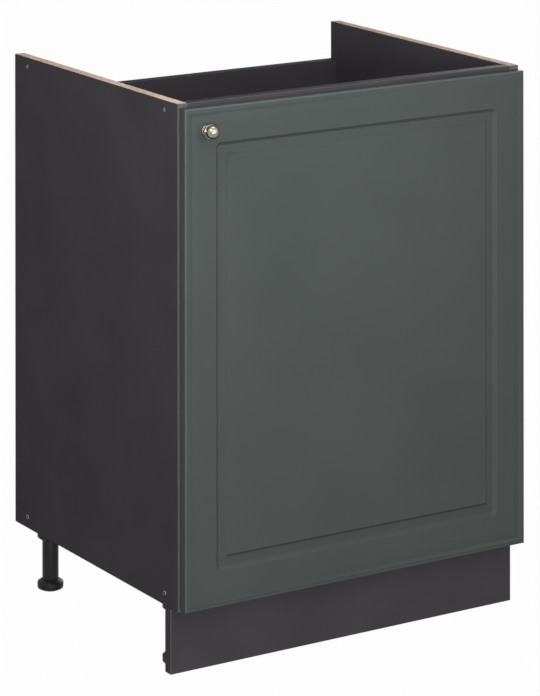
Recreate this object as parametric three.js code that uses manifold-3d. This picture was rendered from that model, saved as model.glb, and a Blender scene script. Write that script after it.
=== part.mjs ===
// Sink base cabinet: an open-topped carcass on four adjustable legs, with a plinth board and one hinged door.
// Millimetres, +Z up. X runs to the right as seen from the front, Y runs from the front to the back.
// The cabinet is drawn with y = 0 at the front edges of the carcass and z = 0 on the floor. The group that
// is exported then moves it back or forward, so that the origin is the centre of its footprint.
import * as THREE from "three";
import { mergeVertices } from "three/addons/utils/BufferGeometryUtils.js";
import Module from "manifold-3d";

const wasm = await Module();
wasm.setup();

// ---------------------------------------------------------------- driving dimensions

// carcass
const cabinetWidth = 600;
const carcassHeight = 720;
const carcassDepth = 487;
const boardThickness = 16;
const bandThickness = 1;
const bottomLift = 8.5; // lower face of the bottom above the lower ends of the sides
const frontRailHeight = 80;
const backRailHeight = 100;
const backRailDrop = 60; // top of the back rail below the tops of the sides

// connecting screws and hole caps in the sides
const screwSetback = 38.5; // from the front and the rear edge
const screwLength = 50;
const screwHeadRadius = 5;
const screwHeadDepth = 1;
const screwConeDepth = 2.5;
const screwShankRadius = 3.5;
const screwShankLength = 12;
const screwThreadRadius = 2.6;
const capRadius = 5;
const capDepth = 0.9;
const capStemRadius = 2.5;
const capStemLength = 8;
const capDrop = 14; // below the tops of the sides

// cam fittings of the rails
const camRadius = 7.5;
const camDepth = 12.5;
const camInset = 34; // from the end of the rail
const camMouthAngle = 0.55; // half of the gap in the cam's rim, radians
const boltShankRadius = 3;
const boltThreadRadius = 3.5;
const boltThreadLength = 11;
const boltNeckRadius = 1.8;
const boltNeckLength = 5;
const boltHeadLength = 3.5;

// legs
const legHeight = 100; // floor to the lower ends of the sides
const legSideInset = 40; // leg axis from the outer face of the side
const legFrontInset = 72;
const legRearInset = 39;
const legTubeRadius = 12.5;
const collarRadius = 20;
const collarHeight = 28.5;
const collarChamfer = 4.5;
const collarLipRadius = 14.5;
const socketPlateThickness = 4;
const socketPlateWidth = 58;
const socketPlateLength = 62;
const socketPlateOffset = 6; // plate centre from the leg axis, away from the side
const tubeInsertion = 26; // length of the tube inside the collar
const footRadius = 20;
const footPadRadius = 15;
const footPadHeight = 1.6;
const footRimHeight = 12;
const footHeight = 16;
const footTopRadius = 13.6;
const footChamfer = 2;
const footNotchCount = 6;
const footNotchWidth = 5;
const footNotchDepth = 1.6;
const footStemRadius = 5;
const footTravel = 20; // how far the foot can be screwed out
const footStemGrip = 18; // length of its stem that stays in the tube then

// plinth
const plinthSetback = 20.5; // front face behind the front edges of the sides
const plinthFloorGap = 5;
const plinthTopGap = 1;
const clipHeight = 18;
const clipWall = 2.6;
const clipMouthAngle = 0.85; // half of the gap at the back of the clip, radians
const clipNeckWidth = 14;
const clipBaseWidth = 44;
const clipBaseHeight = 30;
const clipBaseThickness = 3;

// door
const doorThickness = 16;
const doorGap = 2; // between the door and the carcass
const doorSideReveal = 2;
const doorTopReveal = 6;
const doorBottomReveal = 2.5;
const arrisWidth = 2.8; // rounded arris round the door's front
const arrisDepth = 3.6;
const lineInset = 7; // fine milled line, from the door's edge to the middle of the line
const lineDepth = 1.3;
const lineHalfWidth = 0.9;
const borderFall = 0.4; // fall of the narrow border from the arris to the line
const frameWidth = 50.8; // flat frame, from the door's edge to the groove
const grooveWidth = 21.6; // groove round the centre field
const grooveWall = 6.3; // width of each of its S-shaped walls
const grooveOuterDepth = 5.2; // at the foot of the outer wall
const grooveInnerDepth = 4.7; // at the foot of the inner wall
const grooveCornerRadius = 9; // of its outer outline
const sharpCorner = 0.3; // radius of the outlines that look square
const bumperRadius = 4;
const bumperInset = 8; // bumper centre from the door's free edge
const bumperEndInset = 24; // bumper centre from the door's upper and lower edge

// knob
const knobSideInset = 34; // knob axis from the door's free edge
const knobTopInset = 31.5;
const knobProjection = 28;
const knobRadius = 10.3;
const knobFootRadius = 7;
const knobNeckRadius = 4;
const knobCollarRadius = 9.2;
const knobThroatRadius = 6.8; // between collar and head
const knobScrewRadius = 2;
const knobScrewReach = 9; // inside the knob
const knobScrewHeadRadius = 4;
const knobScrewHeadHeight = 1.5;

// hinges
const hingeEndInset = 100; // hinge axis height from the door's upper and lower edge
const cupRadius = 17.5;
const cupDepth = 12;
const cupWall = 1.6;
const cupFloor = 0.8;
const cupEdgeDistance = 22.5; // cup axis from the door's hinged edge
const cupFlangeThickness = 0.9;
const cupFlangeRim = 1.8; // flange beyond the cup
const cupWingWidth = 13;
const cupWingSpan = 58;
const cupWingOffset = 9.5; // wings' centre line from the cup axis, away from the hinged edge
const cupPinOffset = 10.5; // pin from the cup axis, towards the hinged edge
const cupPinDepth = 3.5; // pin below the back face of the door
const hingePinRadius = 1.5;
const armPinInset = 21; // pin from the inner face of the side
const armPinSetback = 5.5; // pin behind the front edge of the side
const linkHeight = 11;
const linkThickness = 3.2;
const linkBulge = 10.2; // of the link's curve, towards the door
const linkEyeRadius = 2.8;
const armCheek = 1.6;
const armReach = 16; // outer face of the arm from the inner face of the side
const armFront = 13;
const armLength = 58;
const armEyeRadius = 3.2;
const plateThickness = 3.5;
const plateSetback = 37; // line of the plate's screws behind the front edge of the side
const plateLength = 44;
const plateWingSpan = 52;
const plateWingWidth = 15;
const plateBossHeight = 6;
const plateBossWidth = 11;
const armScrewRadius = 2;
const armScrewHeadRadius = 4;
const armScrewHeadHeight = 1.4;
const armScrewReach = 5; // inside the plate's boss

const clearance = 0.3; // round every piece that sits in a hole

// ---------------------------------------------------------------- places that follow

const sideOuter = cabinetWidth / 2;
const sideInner = sideOuter - boardThickness;
const carcassBottom = legHeight;
const carcassTop = legHeight + carcassHeight;
const bottomUnderside = carcassBottom + bottomLift;
const bottomMiddle = bottomUnderside + boardThickness / 2;
const frontRailMiddle = carcassTop - frontRailHeight / 2;
const backRailTop = carcassTop - backRailDrop;
const backRailMiddle = backRailTop - backRailHeight / 2;
const backRailFront = carcassDepth - boardThickness;
const doorBack = -doorGap;
const doorFront = doorBack - doorThickness;
const doorRight = sideOuter - doorSideReveal;
const doorLeft = -doorRight;
const doorBottom = carcassBottom + doorBottomReveal;
const doorTop = carcassTop - doorTopReveal;
const cupX = doorRight - cupEdgeDistance;
const frontReach = doorFront - knobProjection;
const footStemLength = footTravel + footStemGrip;
const legRows = { front: legFrontInset, rear: carcassDepth - legRearInset };
const sides = { left: -1, right: 1 };
const screwRows = { front: screwSetback, rear: carcassDepth - screwSetback };
const hingeRows = { lower: doorBottom + hingeEndInset, upper: doorTop - hingeEndInset };
const armPin = new THREE.Vector2(sideInner - armPinInset, armPinSetback);
const cupPin = new THREE.Vector2(cupX + cupPinOffset, doorBack - cupPinDepth);

// ---------------------------------------------------------------- finishes

function finish(color, roughness, metalness = 0) {
  return new THREE.MeshStandardMaterial({ color, roughness, metalness });
}

const carcassFinish = finish(0x413e41, 0.55);
const bandFinish = finish(0x4a474a, 0.5);
const doorFinish = finish(0x585d5a, 0.45);
const blackPlastic = finish(0x1f1d1f, 0.5);
const greyPlastic = finish(0x55535a, 0.5);
const clearPlastic = finish(0xd8d8d4, 0.35);
const nickel = finish(0xc2bcae, 0.25, 1);
const steel = finish(0xb9bbbd, 0.35, 1);

// ---------------------------------------------------------------- shapes

// A three.js geometry as a closed solid for cutting and joining.
function solid(geometry) {
  const bare = geometry.index ? geometry.toNonIndexed() : geometry.clone();
  bare.deleteAttribute("normal");
  bare.deleteAttribute("uv");
  const merged = mergeVertices(bare, 1e-4);
  const corners = [];
  for (let i = 0; i < merged.index.count; i += 3) {
    const [a, b, c] = [0, 1, 2].map((k) => merged.index.getX(i + k));
    if (a !== b && b !== c && c !== a) corners.push(a, b, c);
  }
  return new wasm.Manifold(
    new wasm.Mesh({
      numProp: 3,
      vertProperties: merged.attributes.position.array,
      triVerts: new Uint32Array(corners),
    }),
  );
}

function join(first, ...others) {
  return others.reduce((sum, other) => sum.add(other), first);
}

function cut(first, ...others) {
  return others.reduce((rest, other) => rest.subtract(other), first);
}

// A rectangular block between two corners.
function block(low, high) {
  const [dx, dy, dz] = high.map((value, i) => value - low[i]);
  const geometry = new THREE.BoxGeometry(dx, dy, dz);
  geometry.translate(low[0] + dx / 2, low[1] + dy / 2, low[2] + dz / 2);
  return solid(geometry);
}

// A solid of revolution. The profile is a list of [radius, distance along the axis] that starts and ends on
// the axis; the axis starts at origin and runs along direction.
function turned(profile, origin, direction, segments = 24) {
  const points = profile.map(([radius, along]) => new THREE.Vector2(radius, along));
  const geometry = new THREE.LatheGeometry(points, segments);
  const turn = new THREE.Quaternion().setFromUnitVectors(
    new THREE.Vector3(0, 1, 0),
    new THREE.Vector3(...direction),
  );
  geometry.applyQuaternion(turn);
  geometry.translate(...origin);
  return solid(geometry);
}

function rod(radius, length, origin, direction, segments = 24) {
  return turned([[0, 0], [radius, 0], [radius, length], [0, length]], origin, direction, segments);
}

// A flat outline in the x-y plane, thickened from one height to another.
function slab(outline, low, high, curveSegments = 12) {
  const geometry = new THREE.ExtrudeGeometry(outline, {
    depth: high - low,
    bevelEnabled: false,
    curveSegments,
  });
  geometry.translate(0, 0, low);
  return solid(geometry);
}

// The corner points of a rounded rectangle in the x-z plane, counter-clockwise as seen from the front.
function roundedRing(halfWidth, halfHeight, radius, y, steps) {
  const ring = [];
  const corners = [[1, -1, -Math.PI / 2], [1, 1, 0], [-1, 1, Math.PI / 2], [-1, -1, Math.PI]];
  for (const [signX, signZ, start] of corners) {
    for (let i = 0; i <= steps; i++) {
      const angle = start + (i / steps) * (Math.PI / 2);
      const x = signX * (halfWidth - radius) + radius * Math.cos(angle);
      const z = signZ * (halfHeight - radius) + radius * Math.sin(angle);
      ring.push([x, y, z]);
    }
  }
  return ring;
}

// A closed solid through a stack of rings with the same number of points, from the back to the front.
function ringStack(rings, centreX, centreZ) {
  const count = rings[0].length;
  const points = rings.flat().map(([x, y, z]) => [x + centreX, y, z + centreZ]);
  const faces = [];
  for (let level = 0; level + 1 < rings.length; level++) {
    for (let i = 0; i < count; i++) {
      const here = level * count + i;
      const next = level * count + ((i + 1) % count);
      faces.push(here, next, next + count, here, next + count, here + count);
    }
  }
  const front = (rings.length - 1) * count;
  for (let i = 1; i + 1 < count; i++) {
    faces.push(0, i + 1, i, front, front + i, front + i + 1);
  }
  const geometry = new THREE.BufferGeometry();
  geometry.setAttribute("position", new THREE.Float32BufferAttribute(points.flat(), 3));
  geometry.setIndex(faces);
  return solid(geometry);
}

const cabinet = new THREE.Group();

// Adds a piece to the cabinet under its name.
function add(name, piece, material) {
  const result = piece.getMesh();
  const geometry = new THREE.BufferGeometry();
  geometry.setAttribute("position", new THREE.BufferAttribute(result.vertProperties, 3));
  geometry.setIndex(new THREE.BufferAttribute(result.triVerts, 1));
  geometry.computeVertexNormals();
  const mesh = new THREE.Mesh(geometry, material);
  mesh.name = name;
  cabinet.add(mesh);
}

// ---------------------------------------------------------------- connecting screws, caps and cam fittings

// The profile of a connecting screw, from its head inwards. grow widens it all round for its hole.
function screwProfile(grow) {
  return [
    [0, 0],
    [screwHeadRadius + grow, 0],
    [screwHeadRadius + grow, screwHeadDepth],
    [screwShankRadius + grow, screwHeadDepth + screwConeDepth],
    [screwShankRadius + grow, screwShankLength],
    [screwThreadRadius + grow, screwShankLength + 1],
    [screwThreadRadius + grow, screwLength + grow],
    [0, screwLength + grow],
  ];
}

function capProfile(grow) {
  return [
    [0, 0],
    [capRadius + grow, 0],
    [capRadius + grow, capDepth],
    [capStemRadius + grow, capDepth],
    [capStemRadius + grow, capDepth + capStemLength + grow],
    [0, capDepth + capStemLength + grow],
  ];
}

// The bolt of a cam fitting, from its end in the side to its head in the cam.
function boltProfile(grow) {
  const headStart = boltThreadLength + camInset - boltHeadLength / 2;
  const neckStart = headStart - boltNeckLength;
  return [
    [0, -grow],
    [boltThreadRadius + grow, -grow],
    [boltThreadRadius + grow, boltThreadLength],
    [boltShankRadius + grow, boltThreadLength],
    [boltShankRadius + grow, neckStart],
    [boltNeckRadius + grow, neckStart],
    [boltNeckRadius + grow, headStart],
    [boltShankRadius + grow, headStart],
    [boltShankRadius + grow, headStart + boltHeadLength + grow],
    [0, headStart + boltHeadLength + grow],
  ];
}

function screwSolid(side, y, grow = 0) {
  return turned(screwProfile(grow), [side * sideOuter, y, bottomMiddle], [-side, 0, 0], 12);
}

function capSolid(side, y, grow = 0) {
  return turned(capProfile(grow), [side * sideOuter, y, carcassTop - capDrop], [-side, 0, 0], 12);
}

function boltSolid(side, y, z, grow = 0) {
  return turned(boltProfile(grow), [side * (sideInner + boltThreadLength), y, z], [-side, 0, 0], 12);
}

// The rails: where the middle of each lies, and which of its faces the cams are let into.
const rails = {
  front: { y: boardThickness / 2, z: frontRailMiddle, face: boardThickness, inward: -1 },
  back: { y: backRailFront + boardThickness / 2, z: backRailMiddle, face: backRailFront, inward: 1 },
};

function camSocket(side, rail) {
  const origin = [side * (sideInner - camInset), rail.face, rail.z];
  return rod(camRadius + clearance, camDepth + clearance, origin, [0, rail.inward, 0], 20);
}

// A cam is a cup with a gap in its rim, through which the head of the bolt enters.
function camSolid(side, rail) {
  const x = side * (sideInner - camInset);
  const body = rod(camRadius, camDepth, [x, rail.face, rail.z], [0, rail.inward, 0], 20);
  const hollowDepth = camDepth - 2;
  const hollowStart = rail.face + rail.inward * 2;
  const hollow = rod(camRadius - 2, hollowDepth + 1, [x, hollowStart, rail.z], [0, rail.inward, 0], 20);
  const halfMouth = camRadius * Math.sin(camMouthAngle);
  const mouthEnd = x + side * (camRadius + 1);
  const mouthLow = Math.min(x, mouthEnd);
  const mouthHigh = Math.max(x, mouthEnd);
  const deepEnd = rail.face + rail.inward * (camDepth + 1);
  const mouth = block(
    [mouthLow, Math.min(hollowStart, deepEnd), rail.z - halfMouth],
    [mouthHigh, Math.max(hollowStart, deepEnd), rail.z + halfMouth],
  );
  return cut(body, hollow, mouth);
}

// ---------------------------------------------------------------- carcass

function addSides() {
  for (const [sideName, side] of Object.entries(sides)) {
    const xLow = Math.min(side * sideInner, side * sideOuter);
    const xHigh = Math.max(side * sideInner, side * sideOuter);
    const holes = [];
    for (const y of Object.values(screwRows)) {
      holes.push(screwSolid(side, y, clearance), capSolid(side, y, clearance));
    }
    for (const rail of Object.values(rails)) {
      holes.push(boltSolid(side, rail.y, rail.z, clearance));
    }
    const board = block([xLow, bandThickness, carcassBottom], [xHigh, carcassDepth, carcassTop]);
    add(`side_panel_${sideName}`, cut(board, ...holes), carcassFinish);
    const band = block([xLow, 0, carcassBottom], [xHigh, bandThickness, carcassTop]);
    add(`edge_band_${sideName}`, band, bandFinish);
  }
}

function addBottom() {
  const top = bottomUnderside + boardThickness;
  const board = block(
    [-sideInner, bandThickness, bottomUnderside],
    [sideInner, carcassDepth, top],
  );
  const holes = [];
  for (const side of Object.values(sides)) {
    for (const y of Object.values(screwRows)) holes.push(screwSolid(side, y, clearance));
  }
  add("bottom_panel", cut(board, ...holes), carcassFinish);
  const band = block([-sideInner, 0, bottomUnderside], [sideInner, bandThickness, top]);
  add("edge_band_bottom", band, bandFinish);
}

function addRail(name, rail, yFront, zTop, height) {
  const zBoard = zTop - bandThickness;
  const board = block([-sideInner, yFront, zTop - height], [sideInner, yFront + boardThickness, zBoard]);
  const holes = [];
  for (const side of Object.values(sides)) {
    holes.push(boltSolid(side, rail.y, rail.z, clearance), camSocket(side, rail));
  }
  add(`${name}_rail`, cut(board, ...holes), carcassFinish);
  const band = block([-sideInner, yFront, zBoard], [sideInner, yFront + boardThickness, zTop]);
  add(`edge_band_${name}_rail`, band, bandFinish);
}

function addFittings() {
  for (const [sideName, side] of Object.entries(sides)) {
    for (const [rowName, y] of Object.entries(screwRows)) {
      add(`bottom_screw_${sideName}_${rowName}`, screwSolid(side, y), steel);
      add(`hole_cap_${sideName}_${rowName}`, capSolid(side, y), greyPlastic);
    }
    for (const [railName, rail] of Object.entries(rails)) {
      add(`rail_bolt_${sideName}_${railName}`, boltSolid(side, rail.y, rail.z), steel);
      add(`rail_cam_${sideName}_${railName}`, camSolid(side, rail), steel);
    }
  }
}

// ---------------------------------------------------------------- legs and plinth

const collarTop = bottomUnderside - socketPlateThickness;
const collarBottom = collarTop - collarHeight;
const tubeTop = collarBottom + tubeInsertion;

function legSocket(x, y, inwards) {
  const collar = turned(
    [
      [0, 0],
      [collarLipRadius, 0],
      [collarRadius, collarChamfer],
      [collarRadius, collarHeight],
      [0, collarHeight],
    ],
    [x, y, collarBottom],
    [0, 0, 1],
    28,
  );
  const plateX = x + inwards * socketPlateOffset;
  const plate = block(
    [plateX - socketPlateWidth / 2, y - socketPlateLength / 2, collarTop],
    [plateX + socketPlateWidth / 2, y + socketPlateLength / 2, bottomUnderside],
  );
  const bore = rod(
    legTubeRadius + clearance,
    tubeInsertion + clearance + 1,
    [x, y, collarBottom - 1],
    [0, 0, 1],
  );
  return cut(join(collar, plate), bore);
}

function legTube(x, y) {
  const tube = rod(legTubeRadius, tubeTop - footHeight, [x, y, footHeight], [0, 0, 1]);
  const boreRadius = footStemRadius + clearance;
  const bore = rod(boreRadius, footStemLength + 2, [x, y, footHeight - 1], [0, 0, 1], 16);
  return cut(tube, bore);
}

function legFoot(x, y) {
  const foot = turned(
    [
      [0, 0],
      [footPadRadius, 0],
      [footPadRadius, footPadHeight],
      [footRadius - footChamfer, footPadHeight],
      [footRadius, footPadHeight + footChamfer],
      [footRadius, footRimHeight],
      [footTopRadius, footHeight],
      [footStemRadius, footHeight],
      [footStemRadius, footHeight + footStemLength],
      [0, footHeight + footStemLength],
    ],
    [x, y, 0],
    [0, 0, 1],
  );
  const notches = [];
  for (let i = 0; i < footNotchCount; i++) {
    const notch = new THREE.BoxGeometry(2 * footNotchDepth, footNotchWidth, footRimHeight - 3);
    notch.translate(footRadius, 0, (footRimHeight - 3) / 2);
    notch.rotateZ(((i + 0.5) / footNotchCount) * 2 * Math.PI);
    notch.translate(x, y, 0);
    notches.push(solid(notch));
  }
  return cut(foot, ...notches);
}

function addLegs() {
  for (const [sideName, side] of Object.entries(sides)) {
    for (const [rowName, y] of Object.entries(legRows)) {
      const x = side * (sideOuter - legSideInset);
      add(`leg_socket_${sideName}_${rowName}`, legSocket(x, y, -side), blackPlastic);
      add(`leg_tube_${sideName}_${rowName}`, legTube(x, y), blackPlastic);
      add(`leg_foot_${sideName}_${rowName}`, legFoot(x, y), blackPlastic);
    }
  }
}

// A spring clip round the tube of a front leg, on a base plate against the back of the plinth board.
function plinthClip(x) {
  const innerRadius = legTubeRadius + clearance;
  const outerRadius = innerRadius + clipWall;
  const start = Math.PI / 2 + clipMouthAngle;
  const end = Math.PI / 2 - clipMouthAngle + 2 * Math.PI;
  const outline = new THREE.Shape();
  outline.absarc(x, legFrontInset, outerRadius, start, end, false);
  outline.absarc(x, legFrontInset, innerRadius, end, start, true);
  outline.closePath();
  const middle = (plinthFloorGap + carcassBottom - plinthTopGap) / 2;
  const ring = slab(outline, middle - clipHeight / 2, middle + clipHeight / 2, 12);
  const plinthBack = plinthSetback + boardThickness;
  const neck = block(
    [x - clipNeckWidth / 2, plinthBack, middle - clipHeight / 2],
    [x + clipNeckWidth / 2, legFrontInset - innerRadius - clipWall / 2, middle + clipHeight / 2],
  );
  const base = block(
    [x - clipBaseWidth / 2, plinthBack, middle - clipBaseHeight / 2],
    [x + clipBaseWidth / 2, plinthBack + clipBaseThickness, middle + clipBaseHeight / 2],
  );
  const roomStart = [x, legFrontInset, middle - clipHeight / 2 - 1];
  const tubeRoom = rod(innerRadius, clipHeight + 2, roomStart, [0, 0, 1]);
  return cut(join(ring, neck, base), tubeRoom);
}

function addPlinth() {
  const board = block(
    [-sideOuter, plinthSetback, plinthFloorGap],
    [sideOuter, plinthSetback + boardThickness, carcassBottom - plinthTopGap],
  );
  add("plinth_board", board, carcassFinish);
  for (const [sideName, side] of Object.entries(sides)) {
    add(`plinth_clip_${sideName}`, plinthClip(side * (sideOuter - legSideInset)), blackPlastic);
  }
}

// ---------------------------------------------------------------- door

const knobX = doorLeft + knobSideInset;
const knobZ = doorTop - knobTopInset;

// One wall of the groove, as an S-shaped fall or rise from one depth to another.
function grooveWallSection(start, fromDepth, toDepth) {
  const steps = 5;
  const section = [];
  for (let i = 0; i <= steps; i++) {
    const share = (1 - Math.cos((i / steps) * Math.PI)) / 2;
    section.push([start + (i / steps) * grooveWall, fromDepth + (toDepth - fromDepth) * share]);
  }
  return section;
}

// The door's section as [distance in from the edge, depth behind the front face], from the edge inwards.
function doorSection() {
  const bulge = 1 - Math.SQRT1_2;
  return [
    [0, doorThickness],
    [0, arrisDepth],
    [bulge * arrisWidth, bulge * arrisDepth],
    [arrisWidth, 0],
    [lineInset - lineHalfWidth, borderFall],
    [lineInset, lineDepth],
    [lineInset + lineHalfWidth, 0],
    ...grooveWallSection(frameWidth, 0, grooveOuterDepth),
    ...grooveWallSection(frameWidth + grooveWidth - grooveWall, grooveInnerDepth, 0),
  ];
}

function doorBoard() {
  const width = doorRight - doorLeft;
  const height = doorTop - doorBottom;
  const rings = doorSection().map(([inset, depth]) => {
    const rounding = inset < frameWidth ? 0 : grooveCornerRadius + frameWidth - inset;
    const radius = Math.max(sharpCorner, rounding);
    return roundedRing(width / 2 - inset, height / 2 - inset, radius, doorFront + depth, 4);
  });
  return ringStack(rings, (doorLeft + doorRight) / 2, (doorBottom + doorTop) / 2);
}

function cupSocket(z) {
  const reach = cupDepth + clearance;
  return rod(cupRadius + clearance, reach + 1, [cupX, doorBack + 1, z], [0, -1, 0], 32);
}

function knobScrewProfile(grow) {
  return [
    [0, 0],
    [knobScrewRadius + grow, 0],
    [knobScrewRadius + grow, doorThickness + knobScrewReach + grow],
    [0, doorThickness + knobScrewReach + grow],
  ];
}

function addDoor() {
  const holes = Object.values(hingeRows).map((z) => cupSocket(z));
  const screwRoom = rod(
    knobScrewRadius + clearance,
    doorThickness + 2,
    [knobX, doorBack + 1, knobZ],
    [0, -1, 0],
    12,
  );
  add("door_panel", cut(doorBoard(), ...holes, screwRoom), doorFinish);
  const bumperX = doorLeft + bumperInset;
  const heights = { lower: doorBottom + bumperEndInset, upper: doorTop - bumperEndInset };
  for (const [rowName, z] of Object.entries(heights)) {
    const pad = turned(
      [[0, 0], [bumperRadius, 0], [0.7 * bumperRadius, doorGap], [0, doorGap]],
      [bumperX, doorBack, z],
      [0, 1, 0],
      16,
    );
    add(`door_bumper_${rowName}`, pad, clearPlastic);
  }
}

function addKnob() {
  const waist = 0.43 * knobProjection;
  const headStart = 0.62 * knobProjection;
  const profile = [
    [0, 0],
    [knobFootRadius, 0],
    [knobFootRadius, 1.2],
    [knobFootRadius - 1, 2],
    [knobNeckRadius, 3],
    [knobNeckRadius, waist - 3],
    [knobCollarRadius - 1, waist - 1.2],
    [knobCollarRadius, waist],
    [knobCollarRadius - 1, waist + 1.2],
    [knobThroatRadius, waist + 2.4],
    [knobThroatRadius, headStart - 1.4],
    [knobRadius - 0.8, headStart - 0.6],
    [knobRadius, headStart + 0.6],
  ];
  const domeSteps = 5;
  const domeHeight = knobProjection - headStart - 0.6;
  for (let i = 1; i <= domeSteps; i++) {
    const angle = (i / domeSteps) * (Math.PI / 2);
    const radius = i === domeSteps ? 0 : knobRadius * Math.cos(angle);
    profile.push([radius, headStart + 0.6 + domeHeight * Math.sin(angle)]);
  }
  const knob = turned(profile, [knobX, doorFront, knobZ], [0, -1, 0], 28);
  const bore = turned(knobScrewProfile(clearance), [knobX, doorBack, knobZ], [0, -1, 0], 12);
  add("knob", cut(knob, bore), nickel);
  const shank = turned(knobScrewProfile(0), [knobX, doorBack, knobZ], [0, -1, 0], 12);
  const head = turned(
    [
      [0, 0],
      [knobScrewHeadRadius, 0],
      [0.8 * knobScrewHeadRadius, knobScrewHeadHeight],
      [0, knobScrewHeadHeight],
    ],
    [knobX, doorBack, knobZ],
    [0, 1, 0],
    16,
  );
  add("knob_screw", join(shank, head), steel);
}

// ---------------------------------------------------------------- hinges

function hingeCup(z) {
  const back = doorBack + cupFlangeThickness;
  const shell = rod(cupRadius, cupDepth + cupFlangeThickness, [cupX, back, z], [0, -1, 0], 32);
  const rim = rod(cupRadius + cupFlangeRim, cupFlangeThickness, [cupX, back, z], [0, -1, 0], 32);
  const wingX = cupX - cupWingOffset;
  const wings = block(
    [wingX - cupWingWidth / 2, doorBack, z - cupWingSpan / 2],
    [wingX + cupWingWidth / 2, back, z + cupWingSpan / 2],
  );
  const hollowDepth = cupDepth + cupFlangeThickness - cupFloor;
  const hollow = rod(cupRadius - cupWall, hollowDepth + 1, [cupX, back + 1, z], [0, -1, 0], 32);
  return cut(join(shell, rim, wings), hollow);
}

// The pin across the cup that the link turns on; it just reaches the cup's wall.
function cupPinSolid(z) {
  const farSide = cupPinOffset + hingePinRadius;
  const half = Math.sqrt((cupRadius - cupWall) ** 2 - farSide ** 2) - clearance;
  return rod(hingePinRadius, 2 * half, [cupPin.x, cupPin.y, z - half], [0, 0, 1], 16);
}

// The link's outline: a band of even width along an arc from the arm's pin to the cup's pin.
function linkOutline() {
  const along = cupPin.clone().sub(armPin);
  const span = along.length();
  along.normalize();
  const towardsDoor = new THREE.Vector2(along.y, -along.x);
  const radius = (span * span) / (8 * linkBulge) + linkBulge / 2;
  const centre = armPin.clone().add(cupPin).multiplyScalar(0.5);
  centre.addScaledVector(towardsDoor, linkBulge - radius);
  const start = Math.atan2(armPin.y - centre.y, armPin.x - centre.x);
  let end = Math.atan2(cupPin.y - centre.y, cupPin.x - centre.x);
  if (end < start) end += 2 * Math.PI;
  const half = linkThickness / 2;
  const outline = new THREE.Shape();
  outline.absarc(centre.x, centre.y, radius + half, start, end, false);
  outline.absarc(centre.x, centre.y, radius - half, end, start, true);
  outline.closePath();
  return outline;
}

function hingeLink(z) {
  const low = z - linkHeight / 2;
  const eyes = [];
  const bores = [];
  for (const pin of [armPin, cupPin]) {
    eyes.push(rod(linkEyeRadius, linkHeight, [pin.x, pin.y, low], [0, 0, 1], 16));
    bores.push(rod(hingePinRadius + clearance, linkHeight + 2, [pin.x, pin.y, low - 1], [0, 0, 1], 16));
  }
  const band = slab(linkOutline(), low, low + linkHeight, 10);
  return cut(join(band, ...eyes), ...bores);
}

const armHalfHeight = linkHeight / 2 + 2 * clearance + armCheek;

// The arm: a channel that opens towards the side, with two cheeks that carry the pin in front of it.
function hingeArm(z) {
  const xNear = sideInner - plateThickness;
  const xFar = sideInner - armReach;
  const yFar = armFront + armLength;
  const channel = block([xFar, armFront, z - armHalfHeight], [xNear, yFar, z + armHalfHeight]);
  const hollow = block(
    [xFar + armCheek, armFront + 2 * armCheek, z - armHalfHeight + armCheek],
    [xNear + 1, yFar + 1, z + armHalfHeight - armCheek],
  );
  const cheekOutline = new THREE.Shape();
  cheekOutline.moveTo(xNear, armFront + armCheek);
  cheekOutline.lineTo(xFar, armFront + armCheek);
  cheekOutline.lineTo(armPin.x - armEyeRadius, armPin.y + armEyeRadius);
  cheekOutline.lineTo(armPin.x - armEyeRadius, armPin.y);
  cheekOutline.absarc(armPin.x, armPin.y, armEyeRadius, Math.PI, 2 * Math.PI, false);
  cheekOutline.lineTo(xNear, armFront);
  cheekOutline.closePath();
  const cheeks = [
    slab(cheekOutline, z - armHalfHeight, z - armHalfHeight + armCheek, 10),
    slab(cheekOutline, z + armHalfHeight - armCheek, z + armHalfHeight, 10),
  ];
  const pinRoom = rod(
    hingePinRadius + clearance,
    2 * armHalfHeight + 2,
    [armPin.x, armPin.y, z - armHalfHeight - 1],
    [0, 0, 1],
    16,
  );
  const screwRoom = rod(armScrewRadius + clearance, armReach, [xFar - 1, plateSetback, z], [1, 0, 0], 12);
  return cut(join(channel, ...cheeks), hollow, pinRoom, screwRoom);
}

function hingePlate(z) {
  const xFace = sideInner - plateThickness;
  const body = block(
    [xFace, plateSetback - plateLength / 2, z - armHalfHeight],
    [sideInner, plateSetback + plateLength / 2, z + armHalfHeight],
  );
  const wings = block(
    [xFace, plateSetback - plateWingWidth / 2, z - plateWingSpan / 2],
    [sideInner, plateSetback + plateWingWidth / 2, z + plateWingSpan / 2],
  );
  const boss = block(
    [xFace - plateBossHeight, plateSetback - plateLength / 4, z - plateBossWidth / 2],
    [xFace, plateSetback + plateLength / 4, z + plateBossWidth / 2],
  );
  const screwDepth = armScrewReach + clearance + 1;
  const screwRoom = rod(
    armScrewRadius + clearance,
    screwDepth,
    [xFace - plateBossHeight - 1, plateSetback, z],
    [1, 0, 0],
    12,
  );
  return cut(join(body, wings, boss), screwRoom);
}

// The screw that holds the arm to the plate.
function armScrew(z) {
  const headFace = sideInner - armReach;
  const shankLength = armReach - plateThickness - plateBossHeight + armScrewReach;
  return turned(
    [
      [0, -armScrewHeadHeight],
      [armScrewHeadRadius, -armScrewHeadHeight],
      [armScrewHeadRadius, 0],
      [armScrewRadius, 0],
      [armScrewRadius, shankLength],
      [0, shankLength],
    ],
    [headFace, plateSetback, z],
    [1, 0, 0],
    12,
  );
}

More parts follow.
